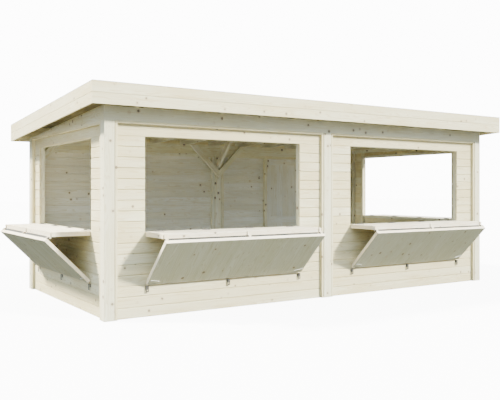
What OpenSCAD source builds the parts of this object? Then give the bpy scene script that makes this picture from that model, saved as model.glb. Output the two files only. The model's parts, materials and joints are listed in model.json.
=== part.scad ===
// Wooden market stall: post-and-beam kiosk with a mono-pitch roof, four serving hatches and a back door.
// Millimetres. +Z is up, the front looks along -Y, and the origin is on the ground, in the middle of the
// space that the stall takes up with its hatches folded down. Inside the modules, x and y run from the
// outer face of the front left post, and each wall is drawn as seen from outside, then turned into place.

/* [Overall] */
// Width over the outer faces of the corner posts
stall_w = 6250; // [5200:10:7600]
// Depth over the outer faces of the corner posts
stall_d = 3030; // [2520:10:3700]

/* [Posts and beams] */
// Side of the square posts, and width of the beams on them
post = 120; // [100:5:145]
// Height of the front posts, which the front beam lies on
front_post_h = 2200; // [2180:5:2400]
// Height of the rear posts, which the rear beam lies on
rear_post_h = 2040; // [1950:5:2090]
// Height of the front and rear beams at their rear edge
beam_h = 150; // [120:5:180]
// Reach of a centre post's knee braces along the beam, from the middle of the post
brace_reach = 480; // [380:5:560]
// Reach of a corner post's knee brace along the beam, from the middle of the post
corner_brace_reach = 370; // [300:5:420]
// How far the braces' tops stay below the beam's top
brace_top_gap = 5; // [2:1:12]
// Space between a centre post's two beam braces and the rafter brace over them
brace_v_gap = 8; // [4:1:20]
// Height of a knee brace's section
brace_w = 90; // [60:5:110]
// Thickness of a knee brace
brace_t = 45; // [35:1:60]

/* [Walls] */
// Height of the side walls, up to the gable beams
side_wall_h = 2190; // [2150:5:2195]
// Thickness of the wall boards
board_t = 28; // [18:1:34]
// Depth of the studs and rails behind the boards
stud_t = 50; // [40:1:60]
// Width of the studs and rails
stud_w = 45; // [35:1:60]
// Width of the trim battens that frame the boards of a bay
trim_w = 27; // [18:1:40]
// Depth of the trim battens
trim_t = 38; // [20:1:40]
// Gap between a post and the trim batten or end stud beside it
trim_gap = 8; // [2:1:15]
// Gap between pieces of board, stud or trim that meet end to end
butt_gap = 1; // [0.5:0.5:2]
// Gap left between pieces that lie on one another: screwed or glued pieces, and the layers of the roof
seat_gap = 0.3; // [0.1:0.1:0.6]

/* [Serving openings] */
// Height of the sill over the ground
sill_h = 960; // [850:1:1100]
// Height of the opening's head over the ground
head_h = 2040; // [1900:5:2090]
// Width of an opening in the front wall
front_open_w = 2188; // [1600:1:2400]
// Width of an opening in a side wall
side_open_w = 2120; // [1400:1:2200]
// Distance from the front post to the opening in the left wall
left_open_inset = 410; // [150:5:420]
// Distance from the front post to the opening in the right wall
right_open_inset = 350; // [150:5:420]

/* [Hatches] */
// Depth of the counter, from the wall to its outer edge
counter_depth = 452; // [350:1:560]
// Thickness of the counter over its frame
counter_t = 54; // [48:1:80]
// Thickness of the boards of the counter top
counter_board_t = 22; // [16:1:28]
// Length of the folding flap
flap_l = 712; // [560:1:740]
// Thickness of the flap over its battens
flap_t = 40; // [30:1:50]
// Thickness of the flap's panel
flap_panel_t = 20; // [12:1:24]
// Width of the battens round the edge of the counter and the flap
batten_w = 42; // [30:1:60]
// How far the counter and flap stop short of the opening's width at each end
hatch_end_gap = 4; // [2:1:10]
// Gap between the edge of the open counter and the wall boards
counter_wall_gap = 5; // [5:1:12]
// Radius of the counter hinges' barrels
barrel_r = 5; // [4:0.5:7]
// Running gap between a barrel or knuckle and the piece that turns round it
barrel_gap = 0.5; // [0.3:0.1:0.8]
// Distance from the end of the opening to the first counter hinge
hinge_inset = 120; // [60:5:240]
// Width of a counter hinge's leaf on the sill
hinge_leaf_w = 34; // [24:1:45]
// Length of a counter hinge
hinge_l = 100; // [60:5:140]
// Counter hinges along one sill
hinge_count = 4; // [3:1:6]
// Thickness of the hinges' steel leaves
leaf_t = 2.5; // [2:0.5:4]
// How far the flap's pivot stands out from the counter's edge
pivot_out = 30; // [24:1:40]
// Space from the flap's pivot to the flap's face
pivot_off = 20; // [18:1:26]
// How far the flap's top edge runs past its pivot
flap_past_pivot = 10; // [4:1:14]
// Width of a pivot block on the counter's edge
block_w = 36; // [24:1:60]
// Half height of a pivot block, and radius of its nose
block_r = 12; // [8:1:14]
// Clearance between the unfolded flap's end and the upright part of a pivot block
pivot_clear = 5; // [5:0.5:8]
// Radius of the flap's pivot pins
pin_r = 5; // [3:0.5:6]
// Running clearance round a pivot pin
pin_gap = 0.3; // [0.2:0.05:0.5]
// Width of a lug that carries the flap on the pin
lug_w = 10; // [6:1:16]
// Pivots along one hatch
pivot_count = 3; // [2:1:4]

/* [Door] */
// Width of the doorway in the boards
door_open_w = 1110; // [800:5:1300]
// Distance from the rear centre post to the doorway
door_inset = 910; // [300:5:1500]
// Width of the door frame's members
jamb_w = 32; // [24:1:60]
// Thickness of the door leaf
leaf_depth = 42; // [34:1:50]
// Gap round the door leaf
door_gap = 5; // [5:1:10]
// Height of the door leaf's lower edge over the ground
door_floor_gap = 15; // [8:1:40]
// Radius of the door hinges' knuckles
knuckle_r = 8; // [6:0.5:10]
// Width of the stiles and rails on the inside of the door leaf
stile_w = 115; // [80:5:140]
// Thickness of the door leaf's upright boards
door_board_t = 20; // [16:1:26]
// How far the door's stop battens stand into the doorway
stop_w = 12; // [8:1:20]
// Length of a door hinge's knuckle
knuckle_l = 90; // [60:5:120]
// Height of the lowest door hinge over the ground
low_hinge_h = 200; // [120:5:400]
// Distance of the highest door hinge below the rear posts' top
high_hinge_drop = 290; // [220:5:420]
// Distance of the door leaf's middle rail below the handle
mid_rail_drop = 170; // [140:5:300]
// Height of the door handle over the ground
handle_h = 1020; // [900:5:1100]
// How far the handle stands out from the leaf
handle_out = 48; // [36:1:60]
// Radius of the handle's lever
handle_r = 9; // [7:0.5:11]
// Length of the handle's lever
handle_l = 110; // [90:5:140]
// Width of the handle's plate
handle_plate_w = 40; // [30:1:50]
// Height of the handle's plate
handle_plate_h = 180; // [120:5:240]

/* [Hasps] */
// Space between the flap's foot and the hasp below it
hasp_drop = 12; // [8:1:20]
// Height of the plate that holds a hasp on the boards
hasp_plate_h = 40; // [30:1:50]
// How far a hasp's hanging leaf stands off the boards
hasp_out = 18; // [12:1:24]
// Height of the slot in a hasp
hasp_slot_h = 18; // [12:1:24]
// Distance from a hasp's lower end to its slot
hasp_slot_z = 12; // [8:1:18]
// Length of a hasp's hanging leaf
hasp_l = 72; // [50:1:90]
// Width of a hasp
hasp_w = 34; // [24:1:44]
// Thickness of a hasp's leaf
hasp_t = 3; // [2:0.5:4]

/* [Roof] */
// Overhang of the roof frame past the posts
overhang = 190; // [120:5:300]
// Height of the rafters over the beams
rafter_h = 195; // [145:5:220]
// Width of the rafters
rafter_w = 45; // [38:1:60]
// Number of rafters, an odd number so that one lies on the centre posts
rafter_count = 13; // [9:2:17]
// Thickness of the roof boards
deck_t = 19; // [15:1:24]
// Thickness of the roofing felt
felt_t = 4; // [3:1:6]
// Height of one fascia board
fascia_board_h = 120; // [95:1:145]
// Thickness of the fascia boards
fascia_t = 21; // [18:1:28]

/* [Hidden] */
$fn = 48;

// Bays, and the layers of a wall measured inwards from its outer face
front_bay_w = (stall_w - 3 * post) / 2;
side_bay_w = stall_d - 2 * post;
right_bay_x = 2 * post + front_bay_w;
centre_x = stall_w / 2;
recess = post - board_t - stud_t;
stud_y = recess + board_t;
left_open_x = post + (front_bay_w - front_open_w) / 2;
right_open_x = left_open_x + front_bay_w + post;
door_x = right_bay_x + door_inset;

// Roof plane: the tops of the beams, which fall from the front beam to the rear beam
front_top = front_post_h + beam_h;
rear_top = rear_post_h + beam_h;
fall = (front_top - rear_top) / (stall_d - post);
roof_y0 = -overhang;
roof_y1 = stall_d + overhang;
roof_x0 = -overhang;
roof_x1 = stall_w + overhang;
deck_top = rafter_h + deck_t;
fascia_drop = 2 * fascia_board_h - deck_top;
rafter_step = (roof_x1 - roof_x0 - rafter_w) / (rafter_count - 1);

// Open hatch, in the section of a wall whose outer face is at y = 0 and that looks along -y
axis_y = recess - counter_wall_gap;
counter_top = sill_h + leaf_t;
axis_z = counter_top + barrel_r + barrel_gap;
counter_edge_y = axis_y - counter_depth;
pivot_y = counter_edge_y - pivot_out;
pivot_z = counter_top - flap_t - pivot_off;
flap_free_l = flap_l - flap_past_pivot;
flap_slope = acos((axis_y - pivot_y) / norm([flap_free_l, pivot_off])) - atan2(pivot_off, flap_free_l);
flap_fold = 180 - flap_slope;
flap_face = pivot_off + flap_t;
foot_z = pivot_z - flap_free_l * sin(flap_slope) - flap_face * cos(flap_slope);
hatch_reach = -pivot_y + flap_past_pivot * cos(flap_slope) + flap_face * sin(flap_slope);

// The origin: the middle of the ground that the stall takes up with its hatches folded down
origin_x = centre_x;
origin_y = (roof_y1 + fascia_t - hatch_reach) / 2;

wood = "Wheat";
pale_wood = "BlanchedAlmond";
steel = "Silver";
felt = "DimGray";

// Height of the roof plane at a depth y
function roof_z(y) = front_top + fall * (post - y);

// Moves a piece from the front left post's corner to the origin
module place() {
    translate([-origin_x, -origin_y, 0])
        children();
}

// Turns a piece of the front wall into the left, the right or the rear wall
module at_left() {
    mirror([1, -1, 0])
        children();
}

module at_right() {
    translate([stall_w, 0, 0])
        mirror([1, 0, 0])
            at_left()
                children();
}

module at_rear() {
    translate([0, stall_d, 0])
        mirror([0, 1, 0])
            children();
}

// A box from its low corner to its high corner
module block(low, high) {
    translate(low)
        cube(high - low);
}

// Extrudes a section drawn in y and z along x, from x0 to x1
module along_x(x0, x1) {
    translate([x0, 0, 0])
        rotate([90, 0, 90])
            linear_extrude(x1 - x0)
                children();
}

// Extrudes a section drawn in x and z along y, from y0 to y1
module along_y(y0, y1) {
    translate([0, y1, 0])
        rotate([90, 0, 0])
            linear_extrude(y1 - y0)
                children();
}

// A layer that follows the roof plane, between two heights over it
module roof_layer(x0, x1, y0, y1, low, high) {
    along_x(x0, x1)
        polygon([
            [y0, roof_z(y0) + low],
            [y1, roof_z(y1) + low],
            [y1, roof_z(y1) + high],
            [y0, roof_z(y0) + high]
        ]);
}

module post_at(x, y, h) {
    color(wood)
        place()
            block([x, y, 0], [x + post, y + post, h]);
}

module front_left_post() { post_at(0, 0, front_post_h); }
module front_centre_post() { post_at(centre_x - post / 2, 0, front_post_h); }
module front_right_post() { post_at(stall_w - post, 0, front_post_h); }
module rear_left_post() { post_at(0, stall_d - post, rear_post_h); }
module rear_centre_post() { post_at(centre_x - post / 2, stall_d - post, rear_post_h); }
module rear_right_post() { post_at(stall_w - post, stall_d - post, rear_post_h); }

// A beam along x whose top is planed to the roof's fall
module sloped_beam(x0, x1, y0, y1, z0) {
    along_x(x0, x1)
        polygon([[y0, z0], [y1, z0], [y1, roof_z(y1)], [y0, roof_z(y0)]]);
}

module front_beam() {
    color(wood)
        place()
            sloped_beam(0, stall_w, 0, post, front_post_h);
}

module rear_beam() {
    color(wood)
        place()
            sloped_beam(0, stall_w, stall_d - post, stall_d, rear_post_h);
}

// Wedges on the side walls, between the front beam and the rear beam
module gable_beams() {
    color(wood)
        place()
            for (x = [0, stall_w - post])
                sloped_beam(x, x + post, post, stall_d - post, side_wall_h);
}

// A brace that rises to the side dir of x, on a face between y0 and y1. Its middle line starts from the
// post's middle at x, and the brace itself begins at a distance start from there
module beam_brace(x, dir, start, reach, top, y0, y1) {
    half = brace_w / sqrt(2);
    along_y(y0, y1)
        polygon([
            [x + dir * start, top - reach + start - half],
            [x + dir * start, top - reach + start + half],
            [x + dir * (reach - half), top],
            [x + dir * (reach + half), top]
        ]);
}

// The four braces of a front or rear row of posts; those at the corners begin inside the side wall
module brace_row(top, y0, y1) {
    beam_brace(post / 2, 1, post / 2, corner_brace_reach, top, y0, y1);
    beam_brace(stall_w - post / 2, -1, post / 2, corner_brace_reach, top, y0, y1);
    beam_brace(centre_x, -1, butt_gap / 2, brace_reach, top, y0, y1);
    beam_brace(centre_x, 1, butt_gap / 2, brace_reach, top, y0, y1);
}

// A brace from a centre post's inner face y up to the rafter over it, towards the side dir of y
module rafter_brace(y, dir, z) {
    half = brace_w / sqrt(2);
    low_run = (roof_z(y) - z + half) / (1 + dir * fall);
    high_run = (roof_z(y) - z - half) / (1 + dir * fall);
    along_x(centre_x - brace_t / 2, centre_x + brace_t / 2)
        polygon([
            [y, z - half],
            [y, z + half],
            [y + dir * high_run, z + half + high_run],
            [y + dir * low_run, z - half + low_run]
        ]);
}

module knee_braces() {
    front_brace_top = front_top - brace_top_gap;
    rear_brace_top = rear_top - brace_top_gap;
    over_v = sqrt(2) * brace_w + brace_t / 2 + brace_v_gap;
    color(wood)
        place() {
            brace_row(front_brace_top, post, post + brace_t);
            brace_row(rear_brace_top, stall_d - post - brace_t, stall_d - post);
            rafter_brace(post, 1, front_brace_top - brace_reach + over_v);
            rafter_brace(stall_d - post, -1, rear_brace_top - brace_reach + over_v);
        }
}

// Boards of a bay with a serving opening: below it, above it and on both sides
module open_bay_boards(x0, w, h, open_x, open_w) {
    y = [recess, recess + board_t];
    block([x0, y[0], 0], [x0 + w, y[1], sill_h]);
    block([x0, y[0], head_h], [x0 + w, y[1], h]);
    block([x0, y[0], sill_h + butt_gap], [open_x, y[1], head_h - butt_gap]);
    block([open_x + open_w, y[0], sill_h + butt_gap], [x0 + w, y[1], head_h - butt_gap]);
}

module front_left_boards() {
    color(pale_wood)
        place()
            open_bay_boards(post, front_bay_w, front_post_h, left_open_x, front_open_w);
}

module front_right_boards() {
    color(pale_wood)
        place()
            open_bay_boards(right_bay_x, front_bay_w, front_post_h, right_open_x, front_open_w);
}

module left_boards() {
    color(pale_wood)
        place()
            at_left()
                open_bay_boards(post, side_bay_w, side_wall_h, post + left_open_inset, side_open_w);
}

module right_boards() {
    color(pale_wood)
        place()
            at_right()
                open_bay_boards(post, side_bay_w, side_wall_h, post + right_open_inset, side_open_w);
}

module rear_left_boards() {
    color(pale_wood)
        place()
            at_rear()
                block([post, recess, 0], [post + front_bay_w, recess + board_t, rear_post_h]);
}

module rear_right_boards() {
    color(pale_wood)
        place()
            at_rear() {
                block([right_bay_x, recess, 0], [door_x, recess + board_t, rear_post_h]);
                block([door_x + door_open_w, recess, 0], [stall_w - post, recess + board_t, rear_post_h]);
            }
}

// Studs from x0 on that stand between a bottom and a top rail
module stud(x, h) {
    block([x, stud_y, stud_w + butt_gap], [x + stud_w, post, h - stud_w - butt_gap]);
}

// A rail from x0 to x1 with its lower face at z
module rail(x0, x1, z) {
    block([x0, stud_y, z], [x1, post, z + stud_w]);
}

// Bottom rail and top rail of a stretch of wall
module rails(x0, x1, h) {
    rail(x0, x1, 0);
    rail(x0, x1, h - stud_w);
}

// Rails and end studs of a whole bay
module bay_frame(x0, w, h) {
    rails(x0, x0 + w, h);
    stud(x0 + trim_gap, h);
    stud(x0 + w - trim_gap - stud_w, h);
}

module open_bay_frame(x0, w, h, open_x, open_w) {
    bay_frame(x0, w, h);
    stud(open_x - stud_w, h);
    stud(open_x + open_w, h);
    rail(open_x + butt_gap, open_x + open_w - butt_gap, sill_h - stud_w);
    rail(open_x + butt_gap, open_x + open_w - butt_gap, head_h);
}

module front_studs() {
    color(wood)
        place() {
            open_bay_frame(post, front_bay_w, front_post_h, left_open_x, front_open_w);
            open_bay_frame(right_bay_x, front_bay_w, front_post_h, right_open_x, front_open_w);
        }
}

module left_studs() {
    color(wood)
        place()
            at_left()
                open_bay_frame(post, side_bay_w, side_wall_h, post + left_open_inset, side_open_w);
}

module right_studs() {
    color(wood)
        place()
            at_right()
                open_bay_frame(post, side_bay_w, side_wall_h, post + right_open_inset, side_open_w);
}

// The rear frame has no studs at the doorway, where the door frame holds the boards
module rear_studs() {
    color(wood)
        place()
            at_rear() {
                bay_frame(post, front_bay_w, rear_post_h);
                rails(right_bay_x, door_x, rear_post_h);
                rails(door_x + door_open_w, stall_w - post, rear_post_h);
                stud(right_bay_x + trim_gap, rear_post_h);
                stud(stall_w - post - trim_gap - stud_w, rear_post_h);
            }
}

// Trim battens of a bay: one beside each post and one along the top
module bay_trims(x0, x1, h) {
    y = [recess - trim_t, recess];
    for (x = [x0 + trim_gap, x1 - trim_gap - trim_w])
        block([x, y[0], 0], [x + trim_w, y[1], h - trim_w - butt_gap]);
    block([x0 + trim_gap, y[0], h - trim_w], [x1 - trim_gap, y[1], h]);
}

module front_trims() {
    color(pale_wood)
        place() {
            bay_trims(post, post + front_bay_w, front_post_h);
            bay_trims(right_bay_x, stall_w - post, front_post_h);
        }
}

module left_trims() {
    color(pale_wood)
        place()
            at_left()
                bay_trims(post, stall_d - post, side_wall_h);
}

module right_trims() {
    color(pale_wood)
        place()
            at_right()
                bay_trims(post, stall_d - post, side_wall_h);
}

// The rear trims stop at the doorway, where the door frame reaches the beam
module rear_trims() {
    y = [recess - trim_t, recess];
    z = [rear_post_h - trim_w, rear_post_h];
    color(pale_wood)
        place()
            at_rear() {
                bay_trims(post, post + front_bay_w, rear_post_h);
                for (x = [right_bay_x + trim_gap, stall_w - post - trim_gap - trim_w])
                    block([x, y[0], 0], [x + trim_w, y[1], z[0] - butt_gap]);
                block([right_bay_x + trim_gap, y[0], z[0]], [door_x, y[1], z[1]]);
                block([door_x + door_open_w, y[0], z[0]], [stall_w - post - trim_gap, y[1], z[1]]);
            }
}

// Jambs and head of the door frame, and the stop battens that the leaf closes on
module door_frame() {
    x = [door_x, door_x + door_open_w];
    stop_y = recess + leaf_depth + door_gap;
    head_z = rear_post_h - jamb_w;
    color(wood)
        place()
            at_rear() {
                block([x[0], recess, 0], [x[0] + jamb_w, post, head_z - butt_gap]);
                block([x[0] + jamb_w + butt_gap / 2, stop_y, 0], [x[0] + jamb_w + stop_w, post, head_z - butt_gap]);
                block([x[1] - jamb_w, recess, 0], [x[1], post, head_z - butt_gap]);
                block([x[1] - jamb_w - stop_w, stop_y, 0], [x[1] - jamb_w - butt_gap / 2, post, head_z - butt_gap]);
                block([x[0], recess, head_z], [x[1], post, rear_post_h]);
                block([x[0] + jamb_w + stop_w + butt_gap, stop_y, head_z - stop_w],
                      [x[1] - jamb_w - stop_w - butt_gap, post, head_z - butt_gap / 2]);
            }
}

// The leaf: upright boards outside, stiles and rails inside
module door_leaf() {
    x = [door_x + jamb_w + door_gap, door_x + door_open_w - jamb_w - door_gap];
    z = [door_floor_gap, rear_post_h - jamb_w - door_gap];
    inner_y = recess + door_board_t + seat_gap;
    rail_x = [x[0] + stile_w + seat_gap, x[1] - stile_w - seat_gap];
    mid_rail_z = handle_h - mid_rail_drop;
    color(pale_wood)
        place()
            at_rear() {
                block([x[0], recess, z[0]], [x[1], recess + door_board_t, z[1]]);
                for (sx = [x[0], x[1] - stile_w])
                    block([sx, inner_y, z[0]], [sx + stile_w, recess + leaf_depth, z[1]]);
                for (rz = [z[0], mid_rail_z, z[1] - stile_w])
                    block([rail_x[0], inner_y, rz], [rail_x[1], recess + leaf_depth, rz + stile_w]);
            }
}

// A lever handle on both faces of the door
module door_handle() {
    x = door_x + door_open_w - jamb_w - door_gap - stile_w / 2;
    faces = [[recess, -1], [recess + leaf_depth, 1]];
    color(steel)
        place()
            at_rear()
                for (f = faces) {
                    translate([x, f[0], handle_h])
                        rotate([-90 * f[1], 0, 0]) {
                            translate([-handle_plate_w / 2, -handle_plate_h / 2, 0])
                                cube([handle_plate_w, handle_plate_h, leaf_t]);
                            cylinder(h = handle_out, r = handle_r);
                            translate([-handle_l, 0, handle_out - handle_r])
                                rotate([0, 90, 0])
                                    cylinder(h = handle_l, r = handle_r);
                        }
                }
}

// Knuckles that the door turns on, each with its leaf on the door frame
module door_hinges() {
    x = door_x + jamb_w + door_gap / 2;
    y = recess - knuckle_r - barrel_gap;
    color(steel)
        place()
            at_rear()
                for (z = [low_hinge_h, rear_post_h / 2, rear_post_h - high_hinge_drop]) {
                    translate([x, y, z])
                        cylinder(h = knuckle_l, r = knuckle_r);
                    block([x - jamb_w, recess - leaf_t, z], [x - knuckle_r / 2, recess, z + knuckle_l]);
                    block([x - knuckle_r, y, z], [x - knuckle_r / 2, recess, z + knuckle_l]);
                }
}

// Places of n like pieces of a width along a hatch, the first and last at its ends
function spread(x0, x1, n, w) = [for (i = [0 : n - 1]) x0 + i * (x1 - x0 - w) / (n - 1)];

// Edge battens along x and cross battens between them, as the frame of a counter or flap, y0 to y1
module batten_frame(x0, x1, y0, y1, z0, z1) {
    mid = (x0 + x1 - batten_w) / 2;
    inner_y = [y0 + batten_w + seat_gap, y1 - batten_w - seat_gap];
    for (y = [y0, y1 - batten_w])
        block([x0, y, z0], [x1, y + batten_w, z1]);
    for (x = [x0, mid, x1 - batten_w])
        block([x, inner_y[0], z0], [x + batten_w, inner_y[1], z1]);
}

// Counter: boards on a frame of battens, with the blocks on its edge that hold the flap's pivot pins
module counter(open_x, open_w) {
    x = [open_x + hatch_end_gap, open_x + open_w - hatch_end_gap];
    under_z = counter_top - counter_board_t;
    upstand_y = pivot_y + flap_past_pivot + pivot_clear;
    block([x[0], counter_edge_y, under_z], [x[1], axis_y, counter_top]);
    batten_frame(x[0], x[1], counter_edge_y, axis_y, counter_top - counter_t, under_z - seat_gap);
    for (px = spread(x[0] + lug_w + butt_gap, x[1] - lug_w - butt_gap, pivot_count, block_w)) {
        block([px, upstand_y, pivot_z - block_r], [px + block_w, counter_edge_y - seat_gap, counter_top]);
        block([px, pivot_y, pivot_z - block_r], [px + block_w, upstand_y - seat_gap, pivot_z + block_r]);
        along_x(px, px + block_w)
            translate([pivot_y, pivot_z])
                circle(r = block_r);
        along_x(px - lug_w, px + block_w + lug_w)
            translate([pivot_y, pivot_z])
                circle(r = pin_r);
    }
}

// Flap: a panel on a frame of battens on its hidden side, with lugs that turn on the counter's pins
module flap(open_x, open_w) {
    x = [open_x + hatch_end_gap, open_x + open_w - hatch_end_gap];
    y = [-flap_free_l, flap_past_pivot];
    panel_z = flap_face - flap_panel_t;
    translate([0, pivot_y, pivot_z])
        rotate([flap_fold, 0, 0]) {
            block([x[0], y[0], panel_z], [x[1], y[1], flap_face]);
            batten_frame(x[0], x[1], y[0], y[1], pivot_off, panel_z - seat_gap);
            for (px = spread(x[0] + lug_w + butt_gap, x[1] - lug_w - butt_gap, pivot_count, block_w))
                for (lx = [px - lug_w - butt_gap, px + block_w + butt_gap])
                    along_x(lx, lx + lug_w)
                        difference() {
                            union() {
                                circle(r = flap_past_pivot);
                                translate([-flap_past_pivot, 0])
                                    square([2 * flap_past_pivot, pivot_off - seat_gap]);
                            }
                            circle(r = pin_r + pin_gap);
                        }
        }
}

module front_left_counter() {
    color(wood)
        place()
            counter(left_open_x, front_open_w);
}

module front_left_flap() {
    color(pale_wood)
        place()
            flap(left_open_x, front_open_w);
}

module front_right_counter() {
    color(wood)
        place()
            counter(right_open_x, front_open_w);
}

module front_right_flap() {
    color(pale_wood)
        place()
            flap(right_open_x, front_open_w);
}

module left_counter() {
    color(wood)
        place()
            at_left()
                counter(post + left_open_inset, side_open_w);
}

module left_flap() {
    color(pale_wood)
        place()
            at_left()
                flap(post + left_open_inset, side_open_w);
}

module right_counter() {
    color(wood)
        place()
            at_right()
                counter(post + right_open_inset, side_open_w);
}

module right_flap() {
    color(pale_wood)
        place()
            at_right()
                flap(post + right_open_inset, side_open_w);
}

// Barrels of one hatch's hinges, with their leaves on the sill
module sill_hinges(open_x, open_w) {
    for (x = spread(open_x + hinge_inset, open_x + open_w - hinge_inset, hinge_count, hinge_l)) {
        along_x(x, x + hinge_l)
            translate([axis_y, axis_z])
                circle(r = barrel_r);
        block([x, recess, sill_h], [x + hinge_l, recess + hinge_leaf_w, sill_h + leaf_t]);
        block([x, recess - leaf_t / 2, sill_h + leaf_t / 2], [x + hinge_l, recess + leaf_t, axis_z]);
    }
}

module counter_hinges() {
    color(steel)
        place() {
            sill_hinges(left_open_x, front_open_w);
            sill_hinges(right_open_x, front_open_w);
            at_left()
                sill_hinges(post + left_open_inset, side_open_w);
            at_right()
                sill_hinges(post + right_open_inset, side_open_w);
        }
}

// Hasps on the boards below the flap's foot: a wall plate, a knuckle and a hanging slotted leaf
module foot_hasps(open_x, open_w) {
    top = foot_z - hasp_drop;
    for (x = spread(open_x + hatch_end_gap, open_x + open_w - hatch_end_gap, pivot_count, hasp_w)) {
        block([x, recess - hasp_t, top - hasp_plate_h], [x + hasp_w, recess, top]);
        block([x, recess - hasp_out, top - hasp_t], [x + hasp_w, recess, top]);
        along_y(recess - hasp_out - hasp_t, recess - hasp_out)
            difference() {
                translate([x, top - hasp_l])
                    square([hasp_w, hasp_l]);
                translate([x + hasp_w / 3, top - hasp_l + hasp_slot_z])
                    square([hasp_w / 3, hasp_slot_h]);
            }
    }
}

module hasps() {
    color(steel)
        place() {
            foot_hasps(left_open_x, front_open_w);
            foot_hasps(right_open_x, front_open_w);
            at_left()
                foot_hasps(post + left_open_inset, side_open_w);
            at_right()
                foot_hasps(post + right_open_inset, side_open_w);
        }
}

module rafters() {
    color(wood)
        place()
            for (i = [0 : rafter_count - 1])
                let (x = roof_x0 + i * rafter_step)
                    roof_layer(x, x + rafter_w, roof_y0, roof_y1, seat_gap, rafter_h);
}

module roof_boards() {
    color(pale_wood)
        place()
            roof_layer(roof_x0, roof_x1, roof_y0, roof_y1, rafter_h + seat_gap, deck_top);
}

// The felt lies over the roof boards and the fascias' top edges
module roofing_felt() {
    x = [roof_x0 - fascia_t, roof_x1 + fascia_t];
    y = [roof_y0 - fascia_t, roof_y1 + fascia_t];
    color(felt)
        place()
            roof_layer(x[0], x[1], y[0], y[1], deck_top + seat_gap, deck_top + felt_t);
}

// Fascias: two boards high, from below the rafters to the top of the roof boards
module fascia(x0, x1, y0, y1) {
    color(pale_wood)
        place()
            roof_layer(x0, x1, y0, y1, -fascia_drop, deck_top);
}

module front_fascia() { fascia(roof_x0 - fascia_t, roof_x1 + fascia_t, roof_y0 - fascia_t, roof_y0); }
module rear_fascia() { fascia(roof_x0 - fascia_t, roof_x1 + fascia_t, roof_y1, roof_y1 + fascia_t); }
module left_fascia() { fascia(roof_x0 - fascia_t, roof_x0, roof_y0, roof_y1); }
module right_fascia() { fascia(roof_x1, roof_x1 + fascia_t, roof_y0, roof_y1); }

front_left_post();
front_centre_post();
front_right_post();
rear_left_post();
rear_centre_post();
rear_right_post();
front_beam();
rear_beam();
gable_beams();
knee_braces();
front_left_boards();
front_right_boards();
left_boards();
right_boards();
rear_left_boards();
rear_right_boards();
front_studs();
left_studs();
right_studs();
rear_studs();
front_trims();
left_trims();
right_trims();
rear_trims();
door_frame();
door_leaf();
door_handle();
door_hinges();
front_left_counter();
front_left_flap();
front_right_counter();
front_right_flap();
left_counter();
left_flap();
right_counter();
right_flap();
counter_hinges();
hasps();
rafters();
roof_boards();
roofing_felt();
front_fascia();
rear_fascia();
left_fascia();
right_fascia();
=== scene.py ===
"""Looks of the wooden market stall: boards, battens, fittings, materials, light and camera.

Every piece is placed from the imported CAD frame. Lengths are in metres."""
import json
import math
import random

import bmesh
import bpy
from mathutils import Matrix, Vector


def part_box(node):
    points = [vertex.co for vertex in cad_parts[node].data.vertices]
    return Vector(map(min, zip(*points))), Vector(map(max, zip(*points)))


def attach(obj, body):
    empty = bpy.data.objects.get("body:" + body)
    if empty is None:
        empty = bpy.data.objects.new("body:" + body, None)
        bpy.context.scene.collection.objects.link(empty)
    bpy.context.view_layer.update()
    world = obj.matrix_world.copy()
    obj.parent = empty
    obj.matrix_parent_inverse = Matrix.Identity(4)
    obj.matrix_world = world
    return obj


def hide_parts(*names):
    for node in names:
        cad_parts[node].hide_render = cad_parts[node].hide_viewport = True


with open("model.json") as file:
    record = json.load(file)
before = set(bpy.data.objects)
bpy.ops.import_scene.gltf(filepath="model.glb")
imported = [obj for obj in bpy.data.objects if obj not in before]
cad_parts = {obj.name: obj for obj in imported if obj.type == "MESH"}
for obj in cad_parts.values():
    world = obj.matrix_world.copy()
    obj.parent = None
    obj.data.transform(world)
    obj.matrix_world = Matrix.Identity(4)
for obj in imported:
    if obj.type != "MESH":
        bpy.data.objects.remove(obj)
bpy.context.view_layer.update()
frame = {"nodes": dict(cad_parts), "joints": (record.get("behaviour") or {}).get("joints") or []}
random.seed(7)

# Sizes of what the CAD model leaves to this script
BOARD_PITCH = 0.120        # cover width of the horizontal wall boards
BOARD_JOINT = 0.0075       # open joint between two wall boards, in front of the tongue
BOARD_EDGE = 0.003         # bevel of a wall board's edges
FASCIA_JOINT = 0.003       # open joint between the two boards of a fascia
TONGUE_T = 0.008           # thickness of the tongue that closes a joint
DECK_PITCH = 0.121         # cover width of the roof boards
COUNTER_BOARD = 0.113      # width of a counter board
LAMELLA = 0.118            # width of a strip in the flaps' glued panels
DOOR_BOARD = 0.130         # width of an upright door board
SHEET_W = 1.0              # width of a sheet of roofing felt
LAP = 0.0015               # how far a felt sheet stands over the one below it
LAP_W = 0.09               # width of the felt's overlap
LAP_STEP = 0.0008          # share of the roof's depth over which the felt steps down at a lap
LAP_FADE = 0.01            # share of the roof's depth over which it comes up again
NOSE = 0.8                 # how far a pivot block's nose reaches past the pin, in block radii
LIPPING = 0.006            # thickness of the solid edge round a flap's glued panel
STRIP_T = 0.003            # thickness of the rubber strips at the flaps' joints
STRIP_SEAT = 0.024         # how far a rubber strip lies under the counter
STRIP_DROP = 0.018         # how far a rubber strip hangs below the pivot
LEAF_REACH = 0.040         # how far a hinge leaf lies on the counter, from the hinge's axis
LEAF_CLEAR = 0.003         # distance of a hinge leaf from the hinge's axis
LEAF_SCREWS = (0.2, 0.5, 0.8)   # places of the screws along a hinge leaf
SCREW_BACK = 0.022         # distance of the outer screws from the hinge's axis
SCREW_STAGGER = 0.008      # how much farther the middle screw lies
HOOK_INSET = 0.028         # distance of a hook's eye from the flap's end
HOOK_RISE = 0.085          # distance of a hook's eye from the flap's free edge
HOOK_LIFT = 0.007          # height of a hook over the flap, and radius of its eye

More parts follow.
